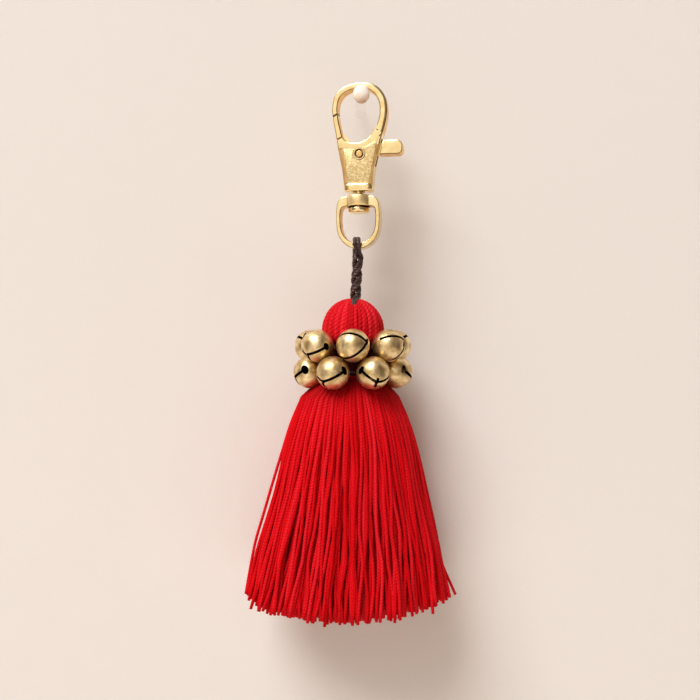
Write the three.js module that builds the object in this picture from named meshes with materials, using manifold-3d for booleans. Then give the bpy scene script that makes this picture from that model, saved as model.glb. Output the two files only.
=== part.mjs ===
// Tassel zipper pull: a swivel trigger clasp hanging on a wall pin, a doubled waxed cord,
// and a yarn tassel with two staggered rows of slotted bells round its neck.
// Millimetres, +Z up, the front faces -Y. The origin is the centre of the pin's wall end.
import * as THREE from 'three';
import { mergeVertices } from 'three/addons/utils/BufferGeometryUtils.js';
import Module from 'manifold-3d';

const wasm = await Module();
wasm.setup();

// Driving dimensions
const clearance = 0.3;
const hangDepth = 16;
const clasp = { x: -0.55, yaw: -11, depth: 3.6, bevel: 0.32 };
const pin = { shankRadius: 1.45, headRadius: 2.05, headHeight: 2.3, headDrop: 0.35, headLength: 2.4 };
const rivet = { x: 0.4, z: -14.6, radius: 0.85, ringRadius: 1.45, ringRise: 0.15 };
const panelRise = 0.12;
const gate = { topRadius: 11.5, splitX: -4.75, splitZ: -10.54, splitAngle: 25, farLeft: -8, farRight: -3.3 };
const lever = { thickness: 1.1, bossRadius: 1.9 };
const collar = { halfWidth: 3.65, top: -21.9, bottom: -23.8, depth: 4.1, bevel: 0.4 };
const drum = { radius: 3.3, top: -24.5, bottom: -27.5, dome: 0.55, rim: 0.3 };
const stud = { radius: 1.25, top: -22.7, seatHeight: 3, headRadius: 2.65, headTop: -27.8, headBottom: -29.1 };
const eye = { outerX: 5.45, innerX: 4.35, bendZ: -32, outerBottom: -37.95, innerBottom: -36.4 };
const eyeCorner = { shoulderX: 3.1, shoulderZ: -25, cornerZ: -25.7, sideZ: -28.1, innerRound: 1.3 };
const cord = { radius: 0.475, pairOffset: 0.42, twistRadius: 0.93, crossingZ: -43.26, halfTurn: 3.75 };
const twist = { upperSlack: 1.42, topZ: -40, bottomZ: -51.2, step: 0.93 };
const drift = { fromZ: -39, fromX: -0.95, toZ: -50.5, toX: -1.9 };
const knot = { x: -1.95, z: -51.3, radius: 1.35 };
const head = { x: -2.06, centreZ: -58.2, radius: 7.7, underRadius: 6.9, underZ: -60.5 };
const neck = { radius: 5, top: -61.7 };
const yarnRibs = { count: 20, lift: 0.2 };
const socket = { radius: 1.9, top: -48.5, depth: 5 };
const flare = { fromZ: -72, toZ: -77, sideways: 0.9, frontways: -0.8 };
const bell = { radius: 4, wall: 0.5, slotWidth: 0.55, slotFloor: 0.8 };
const keyhole = { from: 3.3, to: 3.95, width: 1.3 };
const shank = { ringRadius: 0.9, wireRadius: 0.25, standOff: 4.4 };
const bellRing = { radius: 11, upperZ: -62.2, lowerZ: -68.7, perRow: 7, threadRadius: 6.6, threadWire: 0.25 };
const skirt = { strands: 94, strandRadius: 0.9, inset: 0.3, ragged: 0.9 };

// Outer edge of the clasp seen from the front, from the collar up the left side,
// over the hook and down the right side
const claspEdge = [
  { x: -3.46, z: -22.6 },
  { x: -3.94, z: -18.4 },
  { x: -4.9, z: -13.8 },
  { x: -5.54, z: -10.05 },
  { x: -6.32, z: -5.6 },
  { x: -6.5, z: -2.6 },
  { x: -5.45, z: 0.75 },
  { x: -2.9, z: 2.55 },
  { x: 0.6, z: 3.15 },
  { x: 3.9, z: 2.5 },
  { x: 6.3, z: 0.35 },
  { x: 7.33, z: -3.1 },
  { x: 6.86, z: -7.4 },
  { x: 6.0, z: -10.3 },
  { x: 4.86, z: -14.9 },
  { x: 3.88, z: -19.4 },
  { x: 3.7, z: -22.6 },
];

// Opening of the hook, clockwise from its top
const hookEdge = [
  { x: 0.3, z: 1.8 },
  { x: 3.0, z: 1.2 },
  { x: 5.0, z: -0.8 },
  { x: 5.75, z: -3.6 },
  { x: 5.1, z: -7.3 },
  { x: 3.6, z: -9.6 },
  { x: 1.4, z: -11.3 },
  { x: -1.4, z: -11.65 },
  { x: -3.5, z: -10.7 },
  { x: -4.35, z: -8.3 },
  { x: -4.95, z: -5.4 },
  { x: -5.1, z: -2.4 },
  { x: -4.1, z: 0.15 },
  { x: -2.2, z: 1.4 },
];

// Flat front and back panels of the clasp body
const panelEdge = [
  { x: -4.1, z: -13.2 },
  { x: -2.75, z: -21.5 },
  { x: 2.95, z: -21.5 },
  { x: 4.7, z: -12.4 },
  { x: 5.0, z: -11.1 },
  { x: 3.3, z: -12.1 },
  { x: 1.3, z: -13.1 },
  { x: -1.5, z: -13.4 },
];

// Arms of the gate lever and the slot they swing in, measured from the rivet
const leftArm = [
  { x: -1.3, z: -1.3 },
  { x: -5.75, z: 3.5 },
  { x: -5.4, z: 5.6 },
  { x: -4.4, z: 5.6 },
  { x: -0.7, z: 1.75 },
];
const rightArm = [
  { x: 0.8, z: 1.7 },
  { x: 6.6, z: 3.3 },
  { x: 6.4, z: 0.4 },
  { x: 1.2, z: -1.4 },
];
const leftSlot = [
  { x: -1.5, z: -2.2 },
  { x: -7.5, z: 3.2 },
  { x: -7.5, z: 6.2 },
  { x: -1.2, z: 6.2 },
  { x: 1.2, z: 2.2 },
];
const rightSlot = [
  { x: 0, z: 2.4 },
  { x: 8, z: 4.6 },
  { x: 8, z: -3.6 },
  { x: 0, z: -2.5 },
];
const tab = { left: 6.35, right: 11.4, top: -10.95, topRound: 1.35 };
const tabFoot = { left: 5.5, bottom: -14.5, round: 0.75 };

// Skirt of the tassel: half-width, reach to the front and back, and sideways drift at each height
const skirtRows = [
  { z: -74.4, halfWidth: 11.3, front: 10.4, back: 10.2, drift: 0 },
  { z: -79.5, halfWidth: 14.2, front: 12.4, back: 11.8, drift: -0.05 },
  { z: -86, halfWidth: 16.6, front: 13.6, back: 12.8, drift: -0.15 },
  { z: -98, halfWidth: 18.6, front: 14.8, back: 13.6, drift: -0.3 },
  { z: -112, halfWidth: 21.6, front: 16, back: 14.2, drift: -0.5 },
  { z: -126.4, halfWidth: 25.4, front: 17, back: 14.6, drift: -0.65 },
];

// Solid shoulder between the neck and the free strands
const shoulderRows = [
  { r: 5, z: -70.2, rib: 0.15 },
  { r: 9.3, z: -72.3, rib: 0.25 },
  { r: 11.1, z: -74, rib: 0.3 },
  { r: 11.8, z: -76, rib: 0.25 },
  { r: 0, z: -77, rib: 0 },
];

// Bells: row, place round the neck in steps from the front, direction of the slot crossing
// and direction of one keyhole (x right, y back, z up)
const bellRows = [
  { row: 'upper', step: 0, cross: [0.72, -0.6, 0.33], keyhole: [-0.72, -0.64, 0.28] },
  { row: 'upper', step: 1, cross: [0.79, -0.57, 0.22], keyhole: [-0.65, -0.65, 0.39] },
  { row: 'upper', step: 2, cross: [0.85, 0.45, 0.05], keyhole: [0.1, -0.6, 0.75] },
  { row: 'upper', step: 3, cross: [0.4, 0.85, -0.2], keyhole: [0.8, -0.3, 0.5] },
  { row: 'upper', step: 4, cross: [-0.4, 0.9, -0.1], keyhole: [0.5, 0.3, 0.8] },
  { row: 'upper', step: 5, cross: [-0.71, 0.5, 0.5], keyhole: [-0.39, -0.82, 0.43] },
  { row: 'upper', step: 6, cross: [-0.62, -0.66, -0.42], keyhole: [0.56, -0.83, -0.05] },
  { row: 'lower', step: 0.5, cross: [0.26, -0.8, -0.54], keyhole: [-0.72, -0.68, 0.13] },
  { row: 'lower', step: 1.5, cross: [0.93, 0.03, -0.36], keyhole: [0.36, -0.89, 0.27] },
  { row: 'lower', step: 2.5, cross: [0.75, 0.6, -0.3], keyhole: [0.3, -0.2, 0.9] },
  { row: 'lower', step: 3.5, cross: [0.1, 0.9, -0.4], keyhole: [0.9, 0, 0.3] },
  { row: 'lower', step: 4.5, cross: [-0.8, 0.55, -0.25], keyhole: [0.2, 0.5, 0.85] },
  { row: 'lower', step: 5.5, cross: [-0.88, 0.04, -0.47], keyhole: [-0.26, -0.94, 0.22] },
  { row: 'lower', step: 6.5, cross: [-0.57, -0.64, -0.52], keyhole: [0.72, -0.68, 0.12] },
];

// Materials
const gold = new THREE.MeshStandardMaterial({ color: 0xe8c67c, roughness: 0.25, metalness: 1 });
const goldRivet = new THREE.MeshStandardMaterial({ color: 0xd9a552, roughness: 0.35, metalness: 1 });
const brass = new THREE.MeshStandardMaterial({ color: 0xb9935a, roughness: 0.35, metalness: 1 });
const yarn = new THREE.MeshStandardMaterial({ color: 0xc8101c, roughness: 0.9, metalness: 0 });
const waxedCord = new THREE.MeshStandardMaterial({ color: 0x3c2828, roughness: 0.55, metalness: 0 });
const clearResin = new THREE.MeshStandardMaterial({ color: 0xeee6dc, roughness: 0.2, metalness: 0 });

// Solids
function toSolid(geometry) {
  const bare = geometry.clone();
  bare.deleteAttribute('normal');
  bare.deleteAttribute('uv');
  const merged = mergeVertices(bare, 1e-4);
  return new wasm.Manifold(new wasm.Mesh({
    numProp: 3,
    vertProperties: merged.attributes.position.array,
    triVerts: new Uint32Array(merged.index.array),
  }));
}

function toGeometry(solid) {
  const mesh = solid.getMesh();
  const geometry = new THREE.BufferGeometry();
  geometry.setAttribute('position', new THREE.BufferAttribute(mesh.vertProperties, 3));
  geometry.setIndex(new THREE.BufferAttribute(mesh.triVerts, 1));
  geometry.computeVertexNormals();
  return geometry;
}

function joined(geometries) {
  return geometries.map(toSolid).reduce((whole, next) => whole.add(next));
}

// A flat piece drawn from the front as x and z, centred on the hanging plane
function slab(shape, depth, bevel) {
  const geometry = new THREE.ExtrudeGeometry(shape, {
    depth: depth - 2 * bevel,
    bevelEnabled: bevel > 0,
    bevelThickness: bevel,
    bevelSize: bevel,
    bevelOffset: -bevel,
    bevelSegments: 1,
    curveSegments: 5,
  });
  geometry.translate(0, 0, bevel - depth / 2);
  return geometry.rotateX(Math.PI / 2);
}

function polygon(rows, originX = 0, originZ = 0) {
  return new THREE.Shape(rows.map((row) => new THREE.Vector2(originX + row.x, originZ + row.z)));
}

function smoothEdge(rows, closed, count) {
  const knots = rows.map((row) => new THREE.Vector3(row.x, row.z, 0));
  const points = new THREE.CatmullRomCurve3(knots, closed, 'centripetal').getPoints(count);
  if (closed) points.pop();
  return points.map((point) => new THREE.Vector2(point.x, point.y));
}

// A turned piece about the vertical axis, from profile rows of radius and height
function turned(rows, segments) {
  const profile = rows.map((row) => new THREE.Vector2(row.r, row.z));
  return new THREE.LatheGeometry(profile, segments).rotateX(Math.PI / 2);
}

function tube(points, radius, sides, steps, turn = 0) {
  const section = new THREE.Shape(Array.from({ length: sides }, (unused, corner) => {
    const angle = turn + 2 * Math.PI * corner / sides;
    return new THREE.Vector2(radius * Math.cos(angle), radius * Math.sin(angle));
  }));
  return new THREE.ExtrudeGeometry(section, { steps, extrudePath: new THREE.CatmullRomCurve3(points) });
}

function makeMesh(name, geometry, material) {
  const mesh = new THREE.Mesh(geometry, material);
  mesh.name = name;
  return mesh;
}

// Wall pin: a clear peg with a rounded head in front of the hook
function makePin() {
  const knobBack = hangDepth + clasp.depth / 2 + panelRise + 3 * clearance;
  const pegLength = knobBack + pin.headLength / 2;
  const peg = new THREE.CylinderGeometry(pin.shankRadius, pin.shankRadius, pegLength, 16);
  peg.translate(0, -pegLength / 2, 0);
  const knob = new THREE.SphereGeometry(1, 14, 9);
  knob.scale(pin.headRadius, pin.headLength / 2, pin.headHeight);
  knob.translate(0, -pegLength, -pin.headDrop);
  return toGeometry(joined([peg, knob]));
}

// Region of the hook taken up by the gate: a sloping split below, an arc about the rivet above
function gateRegion(margin) {
  const slope = Math.tan(THREE.MathUtils.degToRad(gate.splitAngle));
  const splitAt = (x) => gate.splitZ + (x - gate.splitX) * slope - margin;
  const radius = gate.topRadius + margin;
  const arcFrom = Math.acos((gate.farRight - rivet.x) / radius);
  const arcTo = Math.acos((gate.farLeft - rivet.x) / radius);
  const shape = new THREE.Shape();
  shape.moveTo(gate.farLeft, splitAt(gate.farLeft));
  shape.lineTo(gate.farRight, splitAt(gate.farRight));
  shape.absarc(rivet.x, rivet.z, radius, arcFrom, arcTo, false);
  return slab(shape, 2 * clasp.depth, 0);
}

function claspBand() {
  const shape = new THREE.Shape(smoothEdge(claspEdge, false, 36).reverse());
  shape.holes.push(new THREE.Path(smoothEdge(hookEdge, true, 28)));
  return slab(shape, clasp.depth, clasp.bevel);
}

function rivetCylinder(radius, length, sides) {
  const cylinder = new THREE.CylinderGeometry(radius, radius, length, sides);
  return cylinder.translate(rivet.x, 0, rivet.z);
}

// Clasp body: hook, two panels, a ring round the rivet and the collar, slotted for the lever
function makeClaspBody() {
  const foot = new THREE.Shape();
  foot.moveTo(-collar.halfWidth, collar.bottom);
  foot.lineTo(collar.halfWidth, collar.bottom);
  foot.lineTo(collar.halfWidth, collar.top);
  foot.lineTo(-collar.halfWidth, collar.top);
  const ringDepth = clasp.depth + 2 * (panelRise + rivet.ringRise);
  const body = joined([
    claspBand(),
    slab(polygon(panelEdge), clasp.depth + 2 * panelRise, panelRise),
    slab(foot, collar.depth, collar.bevel),
    rivetCylinder(rivet.ringRadius, ringDepth, 20),
  ]);
  const seatRadius = stud.radius + clearance;
  const studSeat = new THREE.CylinderGeometry(seatRadius, seatRadius, stud.seatHeight, 16);
  studSeat.rotateX(Math.PI / 2);
  studSeat.translate(0, 0, stud.top + clearance - stud.seatHeight / 2);
  const slotDepth = lever.thickness + 2 * clearance;
  const cuts = joined([
    slab(polygon(leftSlot, rivet.x, rivet.z), slotDepth, 0),
    slab(polygon(rightSlot, rivet.x, rivet.z), slotDepth, 0),
    rivetCylinder(lever.bossRadius + 1.5 * clearance, slotDepth, 20),
    rivetCylinder(rivet.radius + clearance, ringDepth + 1, 16),
    gateRegion(clearance / 2),
    studSeat,
  ]);
  return toGeometry(body.subtract(cuts));
}

// Gate lever: the gate bar, a thin bell crank about the rivet and the thumb tab
function makeGateLever() {
  const bar = toSolid(claspBand()).intersect(toSolid(gateRegion(-clearance / 2)));
  const thumb = new THREE.Shape();
  const footX = tab.right - tabFoot.round;
  const topX = tab.right - tab.topRound;
  thumb.moveTo(tabFoot.left, tabFoot.bottom);
  thumb.lineTo(footX, tabFoot.bottom);
  thumb.absarc(footX, tabFoot.bottom + tabFoot.round, tabFoot.round, -Math.PI / 2, 0, false);
  thumb.absarc(topX, tab.top - tab.topRound, tab.topRound, 0, Math.PI / 2, false);
  thumb.lineTo(tab.left, tab.top);
  const crank = joined([
    slab(polygon(leftArm, rivet.x, rivet.z), lever.thickness, 0),
    slab(polygon(rightArm, rivet.x, rivet.z), lever.thickness, 0),
    rivetCylinder(lever.bossRadius, lever.thickness, 20),
    slab(thumb, clasp.depth, clasp.bevel),
  ]);
  const bore = toSolid(rivetCylinder(rivet.radius + clearance, 2 * clasp.depth, 16));
  return toGeometry(bar.add(crank).subtract(bore));
}

// Swivel eye: a turned drum with a D-shaped loop under it, bored for the stud
function makeSwivelEye() {
  const loop = new THREE.Shape();
  const rise = eye.bendZ - eye.outerBottom;
  loop.moveTo(-eyeCorner.shoulderX, eyeCorner.shoulderZ);
  loop.quadraticCurveTo(-eye.outerX, eyeCorner.cornerZ, -eye.outerX, eyeCorner.sideZ);
  loop.lineTo(-eye.outerX, eye.bendZ);
  loop.absellipse(0, eye.bendZ, eye.outerX, rise, Math.PI, 2 * Math.PI, false);
  loop.lineTo(eye.outerX, eyeCorner.sideZ);
  loop.quadraticCurveTo(eye.outerX, eyeCorner.cornerZ, eyeCorner.shoulderX, eyeCorner.shoulderZ);
  const opening = new THREE.Path();
  const corner = eyeCorner.innerRound;
  opening.moveTo(-eye.innerX + corner, drum.bottom);
  opening.lineTo(eye.innerX - corner, drum.bottom);
  opening.quadraticCurveTo(eye.innerX, drum.bottom, eye.innerX, drum.bottom - corner);
  opening.lineTo(eye.innerX, eye.bendZ);
  opening.absellipse(0, eye.bendZ, eye.innerX, eye.bendZ - eye.innerBottom, 0, -Math.PI, true);
  opening.lineTo(-eye.innerX, drum.bottom - corner);
  opening.quadraticCurveTo(-eye.innerX, drum.bottom, -eye.innerX + corner, drum.bottom);
  loop.holes.push(opening);
  const barrel = turned([
    { r: 0, z: drum.bottom },
    { r: drum.radius - drum.rim, z: drum.bottom },
    { r: drum.radius, z: drum.bottom + drum.rim },
    { r: drum.radius, z: drum.top - drum.dome },
    { r: drum.radius - 0.5, z: drum.top - drum.rim / 2 },
    { r: stud.radius + 2 * clearance, z: drum.top },
    { r: 0, z: drum.top },
  ], 28);
  const bore = new THREE.CylinderGeometry(stud.radius + clearance, stud.radius + clearance, 8, 20);
  bore.rotateX(Math.PI / 2);
  bore.translate(0, 0, drum.top);
  return toGeometry(joined([slab(loop, clasp.depth, clasp.bevel), barrel]).subtract(toSolid(bore)));
}

// Swivel stud: a shank held in the collar, with a flat round head under the drum
function makeStud() {
  return turned([
    { r: 0, z: stud.headBottom },
    { r: stud.headRadius - 0.35, z: stud.headBottom },
    { r: stud.headRadius, z: stud.headBottom + 0.35 },
    { r: stud.headRadius, z: stud.headTop - 0.15 },
    { r: stud.headRadius - 0.15, z: stud.headTop },
    { r: stud.radius, z: stud.headTop },
    { r: stud.radius, z: stud.top },
    { r: 0, z: stud.top },
  ], 16);
}

// Cord: one doubled cord laid over the bottom of the eye, its two legs twisted together
function cordLeg(height, phase, side) {
  const slack = height > cord.crossingZ ? twist.upperSlack : 1;
  const turn = Math.PI * (height - cord.crossingZ) / (cord.halfTurn * slack) + phase;
  const centre = THREE.MathUtils.mapLinear(height, drift.fromZ, drift.toZ, drift.fromX, drift.toX);
  const across = side * cord.pairOffset;
  return new THREE.Vector3(
    centre + cord.twistRadius * Math.sin(turn) + across * Math.cos(turn),
    -hangDepth - cord.twistRadius * Math.cos(turn) + across * Math.sin(turn),
    height,
  );
}

function makeTether() {
  const yaw = THREE.MathUtils.degToRad(clasp.yaw);
  const reach = clasp.depth / 2 + clearance + cord.radius;
  const top = eye.innerBottom + clearance + cord.radius;
  const edge = eye.outerBottom + cord.radius;
  const round = cord.radius + cord.pairOffset;
  const overBar = [
    { y: -reach, z: edge },
    { y: -reach, z: top - round },
    { y: -reach / 2, z: top },
    { y: reach / 2, z: top },
    { y: reach, z: top - round },
    { y: reach, z: edge },
  ];
  const strands = [-1, 1].map((side) => {
    const points = [];
    for (let height = twist.bottomZ; height <= twist.topZ; height += twist.step) {
      points.push(cordLeg(height, 0, side));
    }
    overBar.forEach((row) => {
      const across = side * cord.pairOffset;
      points.push(new THREE.Vector3(
        clasp.x + across * Math.cos(yaw) - row.y * Math.sin(yaw),
        -hangDepth + across * Math.sin(yaw) + row.y * Math.cos(yaw),
        row.z,
      ));
    });
    for (let height = twist.topZ; height >= twist.bottomZ; height -= twist.step) {
      points.push(cordLeg(height, Math.PI, side));
    }
    return tube(points, cord.radius, 4, 36);
  });
  const ball = new THREE.SphereGeometry(knot.radius, 10, 6);
  ball.rotateX(Math.PI / 2);
  ball.translate(knot.x, -hangDepth, knot.z);
  return toGeometry(joined([...strands, ball]));
}

// Tassel: a ribbed ball head and neck, a short solid shoulder and free strands below it
function tasselCore() {
  const ballRows = [72, 52, 32, 12, -8].map((degrees) => {
    const angle = THREE.MathUtils.degToRad(degrees);
    const r = head.radius * Math.cos(angle);
    return { r, z: head.centreZ + head.radius * Math.sin(angle), rib: yarnRibs.lift };
  });
  const profile = [
    { r: 0, z: head.centreZ + head.radius, rib: 0 },
    ...ballRows,
    { r: head.underRadius, z: head.underZ, rib: yarnRibs.lift },
    { r: neck.radius, z: neck.top, rib: yarnRibs.lift },
    ...shoulderRows,
  ].reverse();
  const geometry = turned(profile, 2 * yarnRibs.count);
  const position = geometry.attributes.position;
  for (let index = 0; index < position.count; index += 1) {
    const column = Math.floor(index / profile.length);
    const row = profile[index % profile.length];
    const around = Math.atan2(position.getY(index), position.getX(index));
    const radius = row.r === 0 ? 0 : row.r + row.rib * (column % 2 === 0 ? 1 : -1);
    const spread = row.r === 0 ? 0 : THREE.MathUtils.smoothstep(-row.z, -flare.fromZ, -flare.toZ);
    position.setX(index, (radius + flare.sideways * spread) * Math.cos(around));
    position.setY(index, (radius + flare.frontways * spread) * Math.sin(around));
  }
  return geometry.translate(head.x, -hangDepth, 0);
}

function skirtStrand(index) {
  const golden = Math.PI * (3 - Math.sqrt(5));
  const angle = index * golden;
  const spread = Math.sqrt((index + 0.5) / skirt.strands);
  const tip = skirtRows[skirtRows.length - 1].z + skirt.ragged * Math.sin(index * 12.9898);
  const points = skirtRows.map((row, level) => {
    const depth = Math.cos(angle) < 0 ? row.back : row.front;
    return new THREE.Vector3(
      head.x + row.drift + spread * (row.halfWidth - skirt.inset) * Math.sin(angle),
      -hangDepth - spread * (depth - skirt.inset) * Math.cos(angle),
      level === skirtRows.length - 1 ? tip : row.z,
    );
  });
  return tube(points, skirt.strandRadius, 3, 4, angle);
}

function makeTassel() {
  const hole = new THREE.CylinderGeometry(socket.radius, socket.radius, socket.depth, 16);
  hole.rotateX(Math.PI / 2);
  hole.translate(knot.x, -hangDepth, socket.top - socket.depth / 2);
  let whole = toSolid(tasselCore()).subtract(toSolid(hole));
  for (let index = 0; index < skirt.strands; index += 1) {
    whole = whole.add(toSolid(skirtStrand(index)));
  }
  return toGeometry(whole);
}

// Thread: a ring of cord that carries one row of bells
function makeThread(height) {
  const ring = new THREE.TorusGeometry(bellRing.threadRadius, bellRing.threadWire, 4, 24);
  return ring.translate(head.x, -hangDepth, height);
}

// Cross of two slots seen along their crossing, each arm widened at its end
function slotCross() {
  const narrow = bell.slotWidth / 2;
  const wide = keyhole.width / 2;
  const arm = [
    { along: narrow, across: -narrow },
    { along: keyhole.from, across: -narrow },
    { along: keyhole.to, across: -wide },
    { along: keyhole.to, across: wide },
    { along: keyhole.from, across: narrow },
  ];
  const points = [0, 1, 2, 3].flatMap((quarter) => arm.map((row) => (
    new THREE.Vector2(row.along, row.across).rotateAround(new THREE.Vector2(), quarter * Math.PI / 2)
  )));
  const cross = new THREE.ExtrudeGeometry(new THREE.Shape(points), {
    depth: bell.radius,
    bevelEnabled: false,
  });
  return cross.translate(0, 0, bell.slotFloor);
}

// Bell: a thin hollow ball with two crossing slots that end in keyholes, and a wire shank
function makeBell(row) {
  const quarterTurn = Math.PI / 2;
  const outer = new THREE.SphereGeometry(bell.radius, 12, 7).rotateX(quarterTurn).rotateZ(Math.PI / 12);
  const inner = new THREE.SphereGeometry(bell.radius - bell.wall, 6, 4).rotateX(quarterTurn);
  inner.rotateZ(Math.PI / 12);
  const cross = new THREE.Vector3(...row.cross).normalize();
  const across = new THREE.Vector3(...row.keyhole);
  across.addScaledVector(cross, -across.dot(cross)).normalize();
  const side = new THREE.Vector3().crossVectors(cross, across);
  const turn = new THREE.Matrix4().makeBasis(across, side, cross);
  const ball = [outer, inner, slotCross()].map((piece) => toSolid(piece.applyMatrix4(turn)));
  const around = 2 * Math.PI * row.step / bellRing.perRow;
  const loop = new THREE.TorusGeometry(shank.ringRadius, shank.wireRadius, 4, 6).rotateX(quarterTurn);
  loop.translate(-shank.standOff, 0, 0).rotateZ(around - quarterTurn);
  const whole = ball[0].add(toSolid(loop)).subtract(ball[1]).subtract(ball[2]);
  const height = row.row === 'upper' ? bellRing.upperZ : bellRing.lowerZ;
  return toGeometry(whole).translate(
    head.x + bellRing.radius * Math.sin(around),
    -hangDepth - bellRing.radius * Math.cos(around),
    height,
  );
}

// Assembly
const pull = new THREE.Group();
pull.add(makeMesh('wall_pin', makePin(), clearResin));

const hardware = new THREE.Group();
hardware.position.set(clasp.x, -hangDepth, 0);
hardware.rotation.z = THREE.MathUtils.degToRad(clasp.yaw);
hardware.add(makeMesh('clasp_body', makeClaspBody(), gold));
hardware.add(makeMesh('gate_lever', makeGateLever(), gold));
const rivetLength = clasp.depth + 2 * (panelRise + rivet.ringRise);
hardware.add(makeMesh('gate_rivet', rivetCylinder(rivet.radius, rivetLength, 16), goldRivet));
hardware.add(makeMesh('swivel_stud', makeStud(), goldRivet));
hardware.add(makeMesh('swivel_eye', makeSwivelEye(), gold));
pull.add(hardware);

pull.add(makeMesh('cord_tether', makeTether(), waxedCord));
pull.add(makeMesh('yarn_tassel', makeTassel(), yarn));
pull.add(makeMesh('upper_bell_thread', makeThread(bellRing.upperZ), waxedCord));
pull.add(makeMesh('lower_bell_thread', makeThread(bellRing.lowerZ), waxedCord));
bellRows.forEach((row, index) => {
  const place = String(index % bellRing.perRow + 1).padStart(2, '0');
  pull.add(makeMesh(`${row.row}_bell_${place}`, makeBell(row), brass));
});

export default pull;
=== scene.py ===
import math
import random

import bpy
from mathutils import Matrix, Vector


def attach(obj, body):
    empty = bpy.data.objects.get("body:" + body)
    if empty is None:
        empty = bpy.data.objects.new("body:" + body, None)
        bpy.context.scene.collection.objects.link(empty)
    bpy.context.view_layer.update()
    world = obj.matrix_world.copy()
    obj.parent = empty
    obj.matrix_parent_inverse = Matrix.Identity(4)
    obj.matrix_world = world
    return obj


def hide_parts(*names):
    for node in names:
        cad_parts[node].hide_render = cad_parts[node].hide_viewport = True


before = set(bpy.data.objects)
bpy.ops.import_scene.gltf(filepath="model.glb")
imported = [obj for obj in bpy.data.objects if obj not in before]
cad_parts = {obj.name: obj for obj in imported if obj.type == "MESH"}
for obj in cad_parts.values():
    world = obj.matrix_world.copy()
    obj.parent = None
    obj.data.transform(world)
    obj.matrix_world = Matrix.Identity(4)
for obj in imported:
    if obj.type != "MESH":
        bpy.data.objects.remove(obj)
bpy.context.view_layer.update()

# Room: the pull hangs on a pale pinkish wall that runs down to a pale floor. The wall is seen
# only from its front, so that the back of the pull can be looked at too.
camera_place = (-0.00278, -0.236, -0.06326)
lens_mm = 45.26
wall_width = 1.6
floor_height = -0.42
wall_gap = 0.0002
middle = (0, -0.02, -0.06)


def new_object(name, data):
    thing = bpy.data.objects.new(name, data)
    bpy.context.collection.objects.link(thing)
    return thing


camera = new_object("view_camera", bpy.data.cameras.new("view_camera"))
camera.location = camera_place
camera.rotation_euler = (math.radians(90), 0, 0)
camera.data.lens = lens_mm
camera.data.clip_start = 0.01
bpy.context.scene.camera = camera
bpy.context.scene.view_settings.view_transform = "Standard"


def new_finish(name, settings):
    """A material and its shader, with some of the shader's values set."""
    finish = bpy.data.materials.new(name)
    finish.use_nodes = True
    shader = finish.node_tree.nodes["Principled BSDF"]
    for socket, value in settings.items():
        shader.inputs[socket].default_value = value
    return finish, shader


def add_node(finish, kind, inputs=None, **settings):
    """A node whose inputs are numbers, colours or outputs of other nodes."""
    node = finish.node_tree.nodes.new(kind)
    for key, value in settings.items():
        setattr(node, key, value)
    for key, value in (inputs or {}).items():
        if hasattr(value, "is_output"):
            finish.node_tree.links.new(value, node.inputs[key])
        else:
            node.inputs[key].default_value = value
    return node


def feed(shader, socket, source):
    shader.id_data.links.new(source, shader.inputs[socket])


def reckon(finish, operation, *values):
    """A sum, product and so on of numbers or outputs of other nodes."""
    return add_node(finish, "ShaderNodeMath", dict(enumerate(values)), operation=operation).outputs[0]


def colour_steps(finish, factor, steps):
    """Colours between steps of (place, colour), picked by factor."""
    ramp = add_node(finish, "ShaderNodeValToRGB", {"Fac": factor})
    while len(ramp.color_ramp.elements) < len(steps):
        ramp.color_ramp.elements.new(0.5)
    for element, (place, colour) in zip(ramp.color_ramp.elements, steps):
        element.position = place
        element.color = (*colour, 1)
    return ramp.outputs["Color"]


def object_noise(finish, size_mm, detail):
    """Noise fixed to the piece, in patches of about size_mm."""
    place = add_node(finish, "ShaderNodeTexCoord")
    mapping = add_node(finish, "ShaderNodeMapping", {
        "Vector": place.outputs["Object"], "Scale": [1000 / size_mm] * 3})
    pattern = add_node(finish, "ShaderNodeTexNoise", {
        "Vector": mapping.outputs["Vector"], "Scale": 1.0, "Detail": detail, "Roughness": 0.5})
    return pattern.outputs["Fac"]


def mottle(finish, shader, size_mm, detail, steps):
    """A base colour that drifts between two tones, in patches of about size_mm."""
    feed(shader, "Base Color", colour_steps(finish, object_noise(finish, size_mm, detail), steps))


plaster, plaster_shader = new_finish("pale_wall", {"Roughness": 0.9, "Specular IOR Level": 0.1})
mottle(plaster, plaster_shader, 260, 1.0, [(0.3, (0.8, 0.735, 0.68)), (0.7, (0.82, 0.755, 0.7))])
facing = add_node(plaster, "ShaderNodeNewGeometry")
clear = add_node(plaster, "ShaderNodeBsdfTransparent")
one_sided = add_node(plaster, "ShaderNodeMixShader", {
    0: facing.outputs["Backfacing"], 1: plaster_shader.outputs["BSDF"], 2: clear.outputs["BSDF"]})
feed(plaster.node_tree.nodes["Material Output"], "Surface", one_sided.outputs["Shader"])

bpy.ops.mesh.primitive_plane_add(size=wall_width, location=(0, wall_gap, floor_height + wall_width / 2),
                                 rotation=(math.radians(90), 0, 0))
wall = bpy.context.object
wall.name = "wall"
wall.data.materials.append(plaster)
bpy.ops.mesh.primitive_plane_add(size=wall_width, location=(0, wall_gap - wall_width / 2, floor_height))
floor = bpy.context.object
floor.name = "floor"
floor.data.materials.append(plaster)


def soft_light(name, place, aim, size, watts, colour):
    light = bpy.data.lights.new(name, "AREA")
    light.size = size
    light.energy = watts
    light.color = colour
    lamp = new_object(name, light)
    lamp.location = place
    lamp.rotation_euler = (Vector(aim) - Vector(place)).to_track_quat("-Z", "Y").to_euler()


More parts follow.
